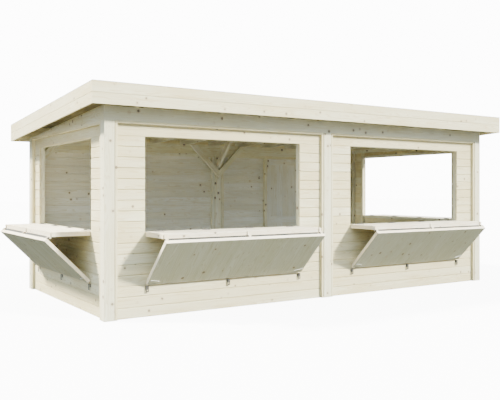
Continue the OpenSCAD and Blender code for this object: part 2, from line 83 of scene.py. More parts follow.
# Sizes shared with the CAD model
COUNTER_T = 0.054          # thickness of the counter over its frame
COUNTER_TOP_T = 0.022      # thickness of the counter's boards
BATTEN_W = 0.042           # width of the battens round the edge of the counter and the flap
FLAP_T = 0.040             # thickness of the flap over its battens
FLAP_PANEL_T = 0.020       # thickness of the flap's panel
PIVOT_OUT = 0.030          # how far the flap's pivot stands out from the counter's edge
PIVOT_OFF = 0.020          # space from the flap's pivot to the flap's face
FLAP_PAST = 0.010          # how far the flap's top edge runs past its pivot
FLAP_FREE = 0.702          # length of the flap from its pivot to its free edge
BLOCK_W = 0.036            # width of a pivot block on the counter's edge
BLOCK_R = 0.012            # half height of a pivot block
PIN_R = 0.005              # radius of the flap's pivot pins
PIVOT_CLEAR = 0.005        # clearance between the flap's end and a pivot block's upright part
LUG_W = 0.010              # width of a lug that carries the flap on the pin
LUG_GAP = 0.001            # gap between a lug and the block beside it
PIVOTS = 3                 # pivots along one hatch
OPENING_CLEAR = 0.004      # gap between the counter's end and the opening's side
HINGES = 4                 # counter hinges along one sill
HINGE_L = 0.100            # length of a counter hinge
HINGE_INSET = 0.120        # distance from the end of the opening to the first counter hinge
LEAF_T = 0.0025            # thickness of the hinges' steel leaves
BARREL_DROP = 0.0055       # how far the counter's top lies below the hinges' axis
STILE_W = 0.115            # width of the stiles and rails on the inside of the door leaf
DOOR_BOARD_T = 0.020       # thickness of the door leaf's upright boards
MID_RAIL_DROP = 0.170      # distance of the door leaf's middle rail below the handle

# The wall that each hatch belongs to
HATCHES = {
    "front_left": "front",
    "front_right": "front",
    "left": "left",
    "right": "right",
}


# ---------------------------------------------------------------- materials

class Graph:
    """A material's node tree, with short calls for the nodes used here."""

    def __init__(self, name):
        self.material = bpy.data.materials.new(name)
        self.material.use_nodes = True
        self.tree = self.material.node_tree
        self.shader = self.tree.nodes["Principled BSDF"]

    def node(self, kind, **inputs):
        n = self.tree.nodes.new(kind)
        for key, value in inputs.items():
            self.feed(n, key.replace("_", " "), value)
        return n

    def feed(self, node, key, value):
        socket = node.inputs[int(key)] if key.isdigit() else node.inputs[key]
        if isinstance(value, bpy.types.NodeSocket):
            self.tree.links.new(value, socket)
        else:
            socket.default_value = value

    def attribute(self, name, output):
        n = self.tree.nodes.new("ShaderNodeAttribute")
        n.attribute_name = name
        return n.outputs[output]

    def math(self, operation, a, b=0.0):
        n = self.tree.nodes.new("ShaderNodeMath")
        n.operation = operation
        self.feed(n, "0", a)
        self.feed(n, "1", b)
        return n.outputs[0]

    def vector(self, operation, a, b):
        n = self.tree.nodes.new("ShaderNodeVectorMath")
        n.operation = operation
        self.feed(n, "0", a)
        self.feed(n, "1", b)
        return n.outputs["Value" if operation == "LENGTH" else "Vector"]

    def noise(self, vector, w, scale, detail=3.0, rough=0.55):
        n = self.tree.nodes.new("ShaderNodeTexNoise")
        n.noise_dimensions = "4D"
        self.feed(n, "Vector", vector)
        self.feed(n, "W", w)
        self.feed(n, "Scale", scale)
        self.feed(n, "Detail", detail)
        self.feed(n, "Roughness", rough)
        return n.outputs["Fac"]

    def span(self, value, low, high, to_low=0.0, to_high=1.0):
        n = self.tree.nodes.new("ShaderNodeMapRange")
        n.interpolation_type = "SMOOTHSTEP"
        for key, v in zip(("Value", "From Min", "From Max", "To Min", "To Max"),
                          (value, low, high, to_low, to_high)):
            self.feed(n, key, v)
        return n.outputs["Result"]

    def mix(self, factor, a, b, blend="MIX"):
        n = self.tree.nodes.new("ShaderNodeMix")
        n.data_type = "RGBA"
        n.blend_type = blend
        self.feed(n, "0", factor)
        self.feed(n, "6", a)
        self.feed(n, "7", b)
        return n.outputs[2]

    def bump(self, height, strength, distance):
        n = self.node("ShaderNodeBump", Height=height, Strength=strength, Distance=distance)
        return n.outputs["Normal"]

    def finish(self, color, roughness, normal, **values):
        self.feed(self.shader, "Base Color", color)
        self.feed(self.shader, "Roughness", roughness)
        self.feed(self.shader, "Normal", normal)
        for key, value in values.items():
            self.shader.inputs[key.replace("_", " ")].default_value = value
        return self.material


def rgb(r, g, b):
    """An sRGB colour of 0 to 255 as linear light."""
    def linear(c):
        c /= 255
        return c / 12.92 if c <= 0.04045 else ((c + 0.055) / 1.055) ** 2.4
    return (linear(r), linear(g), linear(b), 1.0)


def wood(name, pale, warm, knot_space, knot_size, rings=0.45, tones=1.0, knotty=0.45):
    """Softwood whose rings, fibres and knots follow the grain stored in each piece.

    Knots lie about knot_space apart, and knotty is the share of them that shows."""
    g = Graph(name)
    grain = g.attribute("grain", "Vector")
    tone = g.attribute("tone", "Fac")
    seed = g.math("MULTIPLY", tone, 61.0)

    # Rings round the pith, bent by slow waves along the piece
    warp = g.noise(g.vector("MULTIPLY", grain, (1.4, 9.0, 9.0)), seed, 1.0, 2.0)
    radius = g.vector("LENGTH", g.vector("MULTIPLY", grain, (0.0, 1.0, 1.0)), (0, 0, 0))
    waves = g.math("ADD", g.math("MULTIPLY", radius, 170.0), g.math("MULTIPLY", warp, 11.0))
    saw = g.math("FRACT", waves)
    late = g.math("MULTIPLY", g.span(saw, 0.45, 0.92), g.span(saw, 1.0, 0.93))
    fibres = g.noise(g.vector("MULTIPLY", grain, (14.0, 620.0, 620.0)), seed, 1.0, 4.0, 0.7)
    streaks = g.noise(g.vector("MULTIPLY", grain, (2.0, 75.0, 75.0)), seed, 1.0, 4.0, 0.62)
    cloud = g.noise(g.vector("MULTIPLY", grain, (1.1, 6.0, 6.0)), seed, 1.0, 3.0)

    # Knots: round cores of many sizes, each with a darker rim and a halo in the wood round it
    cells = g.tree.nodes.new("ShaderNodeTexVoronoi")
    cells.voronoi_dimensions = "3D"
    shifted = g.vector("ADD", grain, g.node("ShaderNodeCombineXYZ", X=seed, Y=seed, Z=seed).outputs[0])
    g.feed(cells, "Vector", shifted)
    g.feed(cells, "Scale", 1.0 / knot_space)
    fray = g.math("MULTIPLY", g.math("SUBTRACT", fibres, 0.5), 0.04)
    ragged = g.math("ADD", cells.outputs["Distance"], fray)
    size = g.node("ShaderNodeSeparateColor", Color=cells.outputs["Color"]).outputs[0]
    reach = g.math("MULTIPLY", g.span(size, 0.30, 1.0, 0.25, 1.0), knot_size / knot_space)
    ratio = g.math("DIVIDE", ragged, reach)
    chosen = g.span(size, 1.0 - knotty, 1.04 - knotty)
    core = g.math("MULTIPLY", g.span(ratio, 1.0, 0.80), chosen)
    ring = g.math("MULTIPLY", g.span(ratio, 0.55, 0.85), g.span(ratio, 1.15, 0.95))
    rim = g.math("MULTIPLY", ring, chosen)
    halo = g.math("MULTIPLY", g.span(ratio, 2.4, 0.9), chosen)

    base = g.mix(g.math("MULTIPLY", tone, tones), pale, warm)
    base = g.mix(g.math("MULTIPLY", g.span(cloud, 0.38, 0.72), 0.8), base, warm)
    dark = tuple(c * k for c, k in zip(warm[:3], (0.80, 0.73, 0.62))) + (1.0,)
    base = g.mix(g.math("MULTIPLY", late, rings), base, dark)
    base = g.mix(g.math("MULTIPLY", g.span(streaks, 0.48, 0.80), 0.75), base, dark)
    base = g.mix(g.math("MULTIPLY", g.span(fibres, 0.55, 0.8), 0.22), base, dark)
    base = g.mix(g.math("MULTIPLY", halo, 0.45), base, rgb(180, 160, 124))
    base = g.mix(g.math("MULTIPLY", core, 0.75), base, rgb(108, 96, 76))
    base = g.mix(g.math("MULTIPLY", rim, 0.40), base, rgb(62, 56, 47))
    rough = g.math("ADD", 0.56, g.math("MULTIPLY", fibres, 0.24))
    height = g.math("ADD", fibres, g.math("MULTIPLY", late, 0.5))
    return g.finish(base, rough, g.bump(height, 0.22, 0.0006), Specular_IOR_Level=0.25)


def coordinates(g, scale):
    """A piece's own coordinates, scaled for a noise."""
    point = g.tree.nodes.new("ShaderNodeTexCoord").outputs["Object"]
    return g.vector("MULTIPLY", point, (scale, scale, scale))


def steel(name, color, dull):
    """Zinc-plated steel with patchy dullness."""
    g = Graph(name)
    patches = g.noise(coordinates(g, 60.0), 1.0, 1.0, 4.0)
    fine = g.noise(coordinates(g, 900.0), 2.0, 1.0, 2.0)
    base = g.mix(g.span(patches, 0.35, 0.7), color, dull)
    rough = g.math("ADD", 0.30, g.math("MULTIPLY", patches, 0.30))
    return g.finish(base, rough, g.bump(fine, 0.12, 0.0002), Metallic=0.9)


def felt():
    """Bitumen felt with mineral grit and faint weather marks."""
    g = Graph("roofing_felt")
    grit = g.noise(coordinates(g, 1400.0), 1.0, 1.0, 2.0)
    marks = g.noise(coordinates(g, 2.0), 3.0, 1.0, 5.0)
    base = g.mix(g.span(grit, 0.35, 0.68), rgb(50, 52, 52), rgb(88, 91, 89))
    base = g.mix(g.math("MULTIPLY", g.span(marks, 0.45, 0.7), 0.35), base, rgb(74, 74, 68))
    rough = g.math("ADD", 0.82, g.math("MULTIPLY", grit, 0.12))
    return g.finish(base, rough, g.bump(grit, 0.5, 0.0012))


def rubber_and_slot_shade():
    """Black rubber, slightly chalky; its black is also painted shade for the dark slot behind the flaps' top
    edge.
    """
    g = Graph("rubber_strip")
    bloom = g.noise(coordinates(g, 90.0), 1.0, 1.0, 4.0)
    base = g.mix(g.span(bloom, 0.4, 0.75), rgb(44, 43, 38), rgb(66, 64, 56))
    rough = g.math("ADD", 0.66, g.math("MULTIPLY", bloom, 0.2))
    return g.finish(base, rough, g.bump(bloom, 0.1, 0.0004))


def pale_plastic():
    """White coating of the small hooks."""
    g = Graph("hook_coating")
    patches = g.noise(coordinates(g, 120.0), 1.0, 1.0, 3.0)
    base = g.mix(g.span(patches, 0.4, 0.8), rgb(238, 238, 232), rgb(214, 213, 204))
    rough = g.math("ADD", 0.35, g.math("MULTIPLY", patches, 0.15))
    return g.finish(base, rough, g.bump(patches, 0.05, 0.0002))


PALE = rgb(226, 222, 190)
WARM = rgb(209, 196, 148)
PALE_FRAME, WARM_FRAME = rgb(226, 225, 202), rgb(213, 206, 168)
WOOD = {
    "posts": wood("post_timber", PALE_FRAME, WARM_FRAME, 0.085, 0.017, tones=0.5, knotty=0.75),
    "frame": wood("frame_timber", PALE_FRAME, WARM_FRAME, 0.11, 0.017, tones=0.5, knotty=0.25),
    "boards": wood("wall_boards", PALE, WARM, 0.10, 0.014, tones=0.7, knotty=0.18),
    "trims": wood("trim_battens", PALE, WARM, 0.11, 0.016, tones=0.4, knotty=0.3),
    # Flaps' glued panels: a darker, greyer copy of the softwood, painted shade for the faces that look down
    # and out; their solid edge keeps the lighter counter wood
    "panels": wood("hatch_panels", rgb(193, 193, 168), rgb(179, 178, 144), 0.11, 0.018,
                   rings=0.5, tones=0.35, knotty=0.6),
    # Rear wall and door leaf: a lighter, greyer copy of the softwood, painted light for the stall's dim
    # inside
    "rear": wood("rear_boards", rgb(231, 230, 215), rgb(217, 212, 186), 0.10, 0.014,
                 tones=0.7, knotty=0.18),
    "counters": wood("counter_boards", rgb(242, 234, 214), rgb(230, 216, 184), 0.11, 0.015,
                     tones=0.6, knotty=0.4),
    # Roof boards: a dark copy of the softwood, painted shade for the roof's underside
    "deck": wood("deck_boards", rgb(132, 128, 96), rgb(112, 105, 74), 0.10, 0.014, rings=0.4),
}
STEEL = steel("zinc_steel", rgb(156, 152, 142), rgb(112, 110, 102))
DARK_STEEL = steel("dull_steel", rgb(92, 90, 84), rgb(64, 63, 60))
HASP_STEEL = steel("hasp_steel", rgb(126, 123, 114), rgb(78, 76, 70))
RUBBER_AND_SLOT_SHADE = rubber_and_slot_shade()
SCREWS = steel("screw_heads", rgb(168, 166, 158), rgb(120, 116, 106))
FELT = felt()
HOOKS = pale_plastic()

# ------------------------------------------------------------------ geometry

HEX_FACES = [(0, 2, 3, 1), (4, 5, 7, 6), (0, 1, 5, 4), (2, 6, 7, 3), (0, 4, 6, 2), (1, 3, 7, 5)]
AXES = {"x": Vector((1, 0, 0)), "y": Vector((0, 1, 0)), "z": Vector((0, 0, 1))}


class Timber:
    """Pieces of wood that share a body, a material and an edge, each with its own run of grain."""

    def __init__(self, name, look, edge, segments=2):
        self.name, self.look, self.edge, self.segments = name, look, edge, segments
        self.points, self.faces, self.grain, self.tone = [], [], [], []

    def solid(self, points, faces, along):
        """Adds a closed solid whose fibres run along a direction."""
        along = Vector(along).normalized()
        helper = AXES["z"] if abs(along.z) < 0.7 else AXES["x"]
        side = along.cross(helper).normalized()
        other = along.cross(side)
        middle = sum(points, Vector()) / len(points)
        pith = Vector((random.uniform(-20, 20), random.uniform(0.03, 0.09) * random.choice((-1, 1)),
                       random.uniform(-0.05, 0.05)))
        tone = random.random()
        first = len(self.points)
        for p in points:
            q = p - middle
            self.grain.append(Vector((q.dot(along), q.dot(side), q.dot(other))) + pith)
            self.tone.append(tone)
        self.points += points
        self.faces += [tuple(first + i for i in f) for f in faces]

    def hexa(self, corner, along):
        """Adds a solid with eight corners, where corner(i, j, k) takes 0 or 1 for each axis."""
        points = [corner(i, j, k) for i in (0, 1) for j in (0, 1) for k in (0, 1)]
        self.solid(points, HEX_FACES, along)

    def block(self, frame_of, low, high, along):
        """Adds a box from low to high, in the coordinates that frame_of turns into the row frame."""
        end = [b if n == along else a for n, (a, b) in enumerate(zip(low, high))]
        self.hexa(lambda i, j, k: frame_of((low[0], high[0])[i], (low[1], high[1])[j], (low[2], high[2])[k]),
                  frame_of(*end) - frame_of(*low))

    def make(self, body, replaced=()):
        """Builds the mesh, rounds its edges and hangs it on its body."""
        mesh = bpy.data.meshes.new(self.name)
        mesh.from_pydata([tuple(p) for p in self.points], [], self.faces)
        grain = mesh.attributes.new("grain", "FLOAT_VECTOR", "POINT")
        grain.data.foreach_set("vector", [c for v in self.grain for c in v])
        tone = mesh.attributes.new("tone", "FLOAT", "POINT")
        tone.data.foreach_set("value", self.tone)
        mesh.update()
        obj = bpy.data.objects.new(self.name, mesh)
        bpy.context.scene.collection.objects.link(obj)
        outward_normals(obj)
        mesh.materials.append(self.look)
        bevel = obj.modifiers.new("edges", "BEVEL")
        bevel.width = self.edge
        bevel.segments = self.segments
        bevel.limit_method = "ANGLE"
        bevel.angle_limit = math.radians(40)
        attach(obj, body)
        if replaced:
            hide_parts(*replaced)


def outward_normals(obj):
    """Turns all faces of a closed mesh outwards."""
    bm = bmesh.new()
    bm.from_mesh(obj.data)
    bmesh.ops.recalc_face_normals(bm, faces=bm.faces)
    bm.to_mesh(obj.data)
    bm.free()


def prism_faces(n):
    """Faces of a prism whose two ends have n points each."""
    faces = [tuple(range(n)), tuple(range(2 * n - 1, n - 1, -1))]
    return faces + [(i, (i + 1) % n, n + (i + 1) % n, n + i) for i in range(n)]


def islands(node):
    """The separate solids of a CAD node, each as a list of its distinct corner points."""
    mesh = frame["nodes"][node].data
    key = [tuple(round(c, 5) for c in v.co) for v in mesh.vertices]
    parent = {k: k for k in key}

    def find(k):
        while parent[k] != k:
            k = parent[k]
        return k

    for face in mesh.polygons:
        ks = [key[i] for i in face.vertices]
        for other in ks[1:]:
            parent[find(other)] = find(ks[0])
    groups = {}
    for k in parent:
        groups.setdefault(find(k), []).append(Vector(k))
    return list(groups.values())


def corners_of(points):
    """Sorts the eight corners of a box, sheared upright or not, into corner(i, j, k)."""
    points = sorted(points, key=lambda p: (round(p.x, 4), round(p.y, 4), p.z))
    return lambda i, j, k: points[4 * i + 2 * j + k]


def part_of(corner, low, high):
    """The part of a solid between two sets of fractions along its three axes."""
    def at(u, v, w):
        total = Vector()
        for i, a in ((0, 1 - u), (1, u)):
            for j, b in ((0, 1 - v), (1, v)):
                for k, c in ((0, 1 - w), (1, w)):
                    total += corner(i, j, k) * (a * b * c)
        return total
    return lambda i, j, k: at((low[0], high[0])[i], (low[1], high[1])[j], (low[2], high[2])[k])


def fraction(value, low, high):
    """How far a value lies from low to high."""
    return (value - low) / (high - low)


def courses(low, high, pitch, least=0.03):
    """Heights at which boards of a pitch meet between low and high, with no strip thinner than least."""
    marks = [k * pitch for k in range(int(high / pitch) + 2)]
    marks = [m for m in marks if low + least < m < high - least]
    return [low] + marks + [high]


def sawn(name, node, look="frame", edge=0.0025):
    """Stands in for a CAD node's plain solids, each with worn edges and its own grain."""
    timber = Timber(name, WOOD[look], edge)
    for points in islands(node):
        corner = corners_of(points)
        spans = [corner(*end) - corner(0, 0, 0) for end in ((1, 0, 0), (0, 1, 0), (0, 0, 1))]
        timber.hexa(corner, max(spans, key=lambda s: s.length))
    timber.make("stall", [node])


POSTS = ["front_left_post", "front_centre_post", "front_right_post",
         "rear_left_post", "rear_centre_post", "rear_right_post"]
for node in POSTS:
    sawn(node + "_timber", node, look="posts")
for node in ["front_beam", "rear_beam", "gable_beams", "rafters"]:
    sawn(node + "_timber", node)
for node in ["front_studs", "left_studs", "right_studs", "rear_studs"]:
    sawn(node + "_timber", node)
for node in ["front_trims", "left_trims", "right_trims", "rear_trims"]:
    sawn(node + "_battens", node, look="trims", edge=0.0015)
sawn("door_frame_timber", "door_frame", look="trims", edge=0.002)


def braces():
    """Knee braces: parallelograms on edge, with the grain along their slope."""
    timber = Timber("knee_brace_timber", WOOD["frame"], 0.0025)
    for points in islands("knee_braces"):
        spread = [max(p[a] for p in points) - min(p[a] for p in points) for a in range(3)]
        thin = 0 if spread[0] < spread[1] else 1
        run = 1 - thin
        sides = [min(p[thin] for p in points), max(p[thin] for p in points)]
        outline = sorted({(round(p[run], 5), round(p.z, 5)) for p in points})
        low_end, high_end = outline[:2], outline[2:]
        if abs(low_end[0][0] - low_end[1][0]) > 1e-4:
            low_end, high_end = outline[2:], outline[:2]
        ring = sorted(low_end, key=lambda q: q[1]) + sorted(high_end, key=lambda q: -q[1])
        if abs(high_end[0][1] - high_end[1][1]) < 0.02:
            start = low_end[0][0]
            ring = sorted(low_end, key=lambda q: q[1])
            ring += sorted(high_end, key=lambda q: abs(q[0] - start))
        corners = []
        for s in sides:
            for u, z in ring:
                p = Vector((0, 0, z))
                p[thin], p[run] = s, u
                corners.append(p)
        timber.solid(corners, prism_faces(4), corners[2] - corners[1])
    timber.make("stall", ["knee_braces"])


braces()


def wall_boards(node):
    """Tongue-and-groove boards in courses that line up round the whole stall."""
    # The rear wall's boards take the lighter rear wood, painted light for the stall's inside
    timber = Timber(node + "_courses", WOOD["rear" if "rear" in node else "boards"], BOARD_EDGE, 1)
    for points in islands(node):
        corner = corners_of(points)
        low, high = corner(0, 0, 0).z, corner(0, 0, 1).z
        marks = courses(low, high, BOARD_PITCH)
        span = corner(1, 0, 0) - corner(0, 0, 0)
        if span.length < (corner(0, 1, 0) - corner(0, 0, 0)).length:
            span = corner(0, 1, 0) - corner(0, 0, 0)
        thick = 1 if abs(span.x) > abs(span.y) else 0
        tongue = TONGUE_T / (corner(1, 1, 0) - corner(0, 0, 0))[thick]
        for a, b in zip(marks, marks[1:]):
            bottom = a + BOARD_JOINT / 2 * (a > low)
            top = b - BOARD_JOINT / 2 * (b < high)
            board = part_of(corner, (0, 0, fraction(bottom, low, high)), (1, 1, fraction(top, low, high)))
            timber.hexa(board, span)
            if b < high:
                near = [0, 0, fraction(b - BOARD_JOINT, low, high)]
                far = [1, 1, fraction(b + BOARD_JOINT, low, high)]
                near[thick], far[thick] = 0.5 - tongue / 2, 0.5 + tongue / 2
                timber.hexa(part_of(corner, near, far), span)
    timber.make("stall", [node])


for node in ["front_left_boards", "front_right_boards", "left_boards", "right_boards",
             "rear_left_boards", "rear_right_boards"]:
    wall_boards(node)

for node in ["front_fascia", "rear_fascia", "left_fascia", "right_fascia"]:
    timber = Timber(node + "_boards", WOOD["trims"], 0.003)
    corner = corners_of(islands(node)[0])
    joint = FASCIA_JOINT / 2 / (corner(0, 0, 1).z - corner(0, 0, 0).z)
    if node in ("front_fascia", "rear_fascia"):
        span = corner(1, 0, 0) - corner(0, 0, 0)
        tongue_from, tongue_to = (0, 1 / 3), (1, 2 / 3)
    else:
        span = corner(0, 1, 0) - corner(0, 0, 0)
        tongue_from, tongue_to = (1 / 3, 0), (2 / 3, 1)
    for low, high in ((0, 0.5 - joint), (0.5 + joint, 1)):
        timber.hexa(part_of(corner, (0, 0, low), (1, 1, high)), span)
    timber.hexa(part_of(corner, (*tongue_from, 0.5 - joint), (*tongue_to, 0.5 + joint)), span)
    timber.make("stall", [node])

# Roof boards in the dark deck wood, painted shade for the roof's underside
deck = Timber("deck_courses", WOOD["deck"], 0.0025, 1)
deck_corner = corners_of(islands("roof_boards")[0])
deck_rows = round((deck_corner(0, 1, 0) - deck_corner(0, 0, 0)).length / DECK_PITCH)
for row in range(deck_rows):
    deck.hexa(part_of(deck_corner, (0, row / deck_rows, 0), (1, (row + 1) / deck_rows, 1)),
              deck_corner(1, 0, 0) - deck_corner(0, 0, 0))
deck.make("stall", ["roof_boards"])


def plain_object(name, points, faces, material, body, slot, edge=0.0, smooth=False):
    """A piece of one material, without grain."""
    mesh = bpy.data.meshes.new(name)
    mesh.from_pydata([tuple(p) for p in points], [], faces)
    obj = bpy.data.objects.new(name, mesh)
    bpy.context.scene.collection.objects.link(obj)
    outward_normals(obj)
    mesh.materials.append(material)
    if smooth:
        mesh.shade_smooth()
    if edge:
        bevel = obj.modifiers.new("edges", "BEVEL")
        bevel.width, bevel.segments, bevel.limit_method = edge, 2, "ANGLE"
    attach(obj, body)
    return obj


def felt_sheets():
    """Sheets of felt laid across the fall, each one lapping over the sheet below it."""
    corner = corners_of(islands("roofing_felt")[0])
    depth = (corner(0, 1, 0) - corner(0, 0, 0)).length
    top = corner(0, 0, 1).z - corner(0, 0, 0).z
    laps = [k * (SHEET_W - LAP_W) for k in range(1, int(depth / (SHEET_W - LAP_W)) + 1)]
    upper = [(0.0, top)]
    for lap in laps:
        if lap < depth - LAP_W:
            upper += [(lap / depth, top), (lap / depth + LAP_STEP, top - LAP)]
            upper += [((lap + LAP_W) / depth, top - LAP), ((lap + LAP_W) / depth + LAP_FADE, top)]
    upper.append((1.0, top))
    outline = [(0.0, 0.0)] + upper + [(1.0, 0.0)]
    points = []
    for i in (0, 1):
        for v, h in outline:
            base = corner(i, 0, 0).lerp(corner(i, 1, 0), v)
            points.append(base + Vector((0, 0, h)))
    sheets = plain_object("felt_sheets", points, prism_faces(len(outline)), FELT, "stall", "felt")
    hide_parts("roofing_felt")


felt_sheets()

# ------------------------------------------------------------------- hatches

low_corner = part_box("front_left_post")[0]
right_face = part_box("front_right_post")[1].x
rear_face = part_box("rear_left_post")[1].y
WALLS = {
    "front": (low_corner, AXES["x"], AXES["y"]),
    "left": (low_corner, AXES["y"], AXES["x"]),
    "right": (Vector((right_face, low_corner.y, 0)), AXES["y"], -AXES["x"]),
    "rear": (Vector((low_corner.x, rear_face, 0)), AXES["x"], -AXES["y"]),
}
JOINTS = {j["name"]: j for j in frame["joints"]}


def wall_frame(side):
    """Turns (along the wall, inwards, up) into a point of the row frame."""
    corner, along, inward = WALLS[side]
    base = Vector((corner.x, corner.y, 0))
    return lambda a, i, z: base + along * a + inward * i + AXES["z"] * z


def wall_place(side, point):
    """The reverse: where a point of the row frame lies along and inwards of a wall."""
    corner, along, inward = WALLS[side]
    q = Vector(point) - Vector((corner.x, corner.y, 0))
    return q.dot(along), q.dot(inward), point[2]


def spread(start, end, count, width):
    """Starts of count pieces of a width, set evenly from start to end."""
    return [start + i * (end - start - width) / (count - 1) for i in range(count)]


def rod(points, radius, sides):
    """Points and faces of a round rod through a list of points, closed at both ends."""
    rings, faces = [], []
    for n, p in enumerate(points):
        ahead = points[min(n + 1, len(points) - 1)] - points[max(n - 1, 0)]
        turn = ahead.normalized()
        helper = AXES["z"] if abs(turn.z) < 0.8 else AXES["x"]
        u = turn.cross(helper).normalized()
        v = turn.cross(u)
        rings += [p + (u * math.cos(t) + v * math.sin(t)) * radius
                  for t in (2 * math.pi * k / sides for k in range(sides))]
    for n in range(len(points) - 1):
        a, b = n * sides, (n + 1) * sides
        faces += [(a + k, a + (k + 1) % sides, b + (k + 1) % sides, b + k) for k in range(sides)]
    faces.append(tuple(range(sides)))
    faces.append(tuple(range(len(rings) - 1, len(rings) - sides - 1, -1)))
    return rings, faces


def joined(parts):
    """Points and faces of several closed shapes as one."""
    points, faces = [], []
    for p, f in parts:
        base = len(points)
        points += p
        faces += [tuple(base + i for i in face) for face in f]
    return points, faces


def hatch(name):
    """A counter on hinges at the sill, the flap on its outer edge, and their fittings."""
    side = HATCHES[name]
    at = wall_frame(side)
    ends = [wall_place(side, p)[0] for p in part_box(name + "_counter")]
    x0, x1 = min(ends), max(ends)
    _, axis_i, axis_z = wall_place(side, JOINTS[name + "_counter_hinge"]["pos_m"])
    _, pivot_i, pivot_z = wall_place(side, JOINTS[name + "_flap_hinge"]["pos_m"])
    fold = math.radians(JOINTS[name + "_flap_hinge"]["range_deg"][1])
    top = axis_z - BARREL_DROP
    edge = pivot_i + PIVOT_OUT
    blocks = spread(x0 + LUG_W + LUG_GAP, x1 - LUG_W - LUG_GAP, PIVOTS, BLOCK_W)
    ribs = [x0, (x0 + x1 - BATTEN_W) / 2, x1 - BATTEN_W]

    # Counter: boards along the wall over a frame of battens
    counter = Timber(name + "_counter_timber", WOOD["counters"], 0.0025)
    under = top - COUNTER_TOP_T
    rows = round((axis_i - edge) / COUNTER_BOARD)
    step = (axis_i - edge) / rows
    for row in range(rows):
        counter.block(at, (x0, edge + row * step, under), (x1, edge + (row + 1) * step, top), 0)
    for i in (edge, axis_i - BATTEN_W):
        counter.block(at, (x0, i, top - COUNTER_T), (x1, i + BATTEN_W, under), 0)
    for x in ribs:
        counter.block(at, (x, edge + BATTEN_W, top - COUNTER_T), (x + BATTEN_W, axis_i - BATTEN_W, under), 1)
    upstand = pivot_i + FLAP_PAST + PIVOT_CLEAR
    for x in blocks:
        counter.block(at, (x, upstand, pivot_z - BLOCK_R), (x + BLOCK_W, edge, top), 2)
        counter.block(at, (x, pivot_i - BLOCK_R * NOSE, pivot_z - BLOCK_R),
                      (x + BLOCK_W, upstand, pivot_z + BLOCK_R), 1)
    counter.make(name + "_counter", [name + "_counter"])

    # Flap: a glued panel of strips with a solid edge on the face that shows, battens behind it; the panel's
    # darker wood is painted shade
    def on_flap(x, y, z):
        c, s = math.cos(fold), math.sin(fold)
        return at(x, pivot_i + y * c - z * s, pivot_z + y * s + z * c)

    panel = Timber(name + "_flap_panel", WOOD["panels"], 0.0006, 1)
    face = PIVOT_OFF + FLAP_T
    back = face - FLAP_PANEL_T
    lamellas = round((x1 - x0) / LAMELLA)
    wide = (x1 - x0 - 2 * LIPPING) / lamellas
    for n in range(lamellas):
        left = x0 + LIPPING + n * wide
        panel.block(on_flap, (left, LIPPING - FLAP_FREE, back), (left + wide, FLAP_PAST - LIPPING, face), 1)
    panel.make(name + "_flap")
    flap = Timber(name + "_flap_battens", WOOD["counters"], 0.0015, 1)
    for x in (x0, x1 - LIPPING):
        flap.block(on_flap, (x, -FLAP_FREE, back), (x + LIPPING, FLAP_PAST, face), 1)
    for y in (-FLAP_FREE, FLAP_PAST - LIPPING):
        flap.block(on_flap, (x0 + LIPPING, y, back), (x1 - LIPPING, y + LIPPING, face), 0)
    for y in (-FLAP_FREE, FLAP_PAST - BATTEN_W):
        flap.block(on_flap, (x0, y, PIVOT_OFF), (x1, y + BATTEN_W, back), 0)
    for x in ribs:
        flap.block(on_flap, (x, -FLAP_FREE + BATTEN_W, PIVOT_OFF),
                   (x + BATTEN_W, FLAP_PAST - BATTEN_W, back), 1)
    flap.make(name + "_flap", [name + "_flap"])

    # Pivot pins and the lugs that turn on them
    pins, lugs = [], []
    for x in blocks:
        axle = [at(x - LUG_W, pivot_i, pivot_z), at(x + BLOCK_W + LUG_W, pivot_i, pivot_z)]
        pins.append(rod(axle, PIN_R, 20))
        for start in (x - LUG_W - LUG_GAP, x + BLOCK_W + LUG_GAP):
            lugs.append(lug(on_flap, start, start + LUG_W))
    plain_object(name + "_pivot_pins", *joined(pins), STEEL, name + "_counter", "steel", 0.0006)
    plain_object(name + "_pivot_lugs", *joined(lugs), DARK_STEEL, name + "_flap", "steel", 0.0008)

    # Rubber strips under the counter's edge, which close the slot to the flap between two pivots and keep
    # the sun out of it; their black is also painted shade for the dark slot
    strips = []
    foot = top - COUNTER_T
    outline = [(edge + STRIP_SEAT, foot), (edge + STRIP_SEAT, foot - STRIP_T), (edge, foot - STRIP_T),
               (pivot_i, pivot_z - STRIP_DROP), (pivot_i - STRIP_T / 2, pivot_z - STRIP_DROP + STRIP_T),
               (edge, foot)]
    for left, right in zip(blocks, blocks[1:]):
        reach = (left + BLOCK_W + LUG_W + PIVOT_CLEAR, right - LUG_W - PIVOT_CLEAR)
        strips.append(([at(x, i, z) for x in reach for i, z in outline], prism_faces(len(outline))))
    plain_object(name + "_joint_strips", *joined(strips), RUBBER_AND_SLOT_SHADE, name + "_counter", "felt", 0.0006)

    # The counter's own leaves of its hinges, with their screws
    leaves, screws = [], []
    inset = HINGE_INSET - OPENING_CLEAR
    for x in spread(x0 + inset, x1 - inset, HINGES, HINGE_L):
        low, high = (x, axis_i - LEAF_REACH, top), (x + HINGE_L, axis_i - LEAF_CLEAR, top + LEAF_T)
        leaves.append(box_mesh(at, low, high))
        for n, k in enumerate(LEAF_SCREWS):
            back = SCREW_BACK + SCREW_STAGGER * (n % 2)
            screws.append(screw_head(at, x + k * HINGE_L, axis_i - back, top + LEAF_T))
    plain_object(name + "_hinge_leaves", *joined(leaves), DARK_STEEL, name + "_counter", "steel", 0.0008)
    plain_object(name + "_hinge_screws", *joined(screws), SCREWS, name + "_counter", "steel")

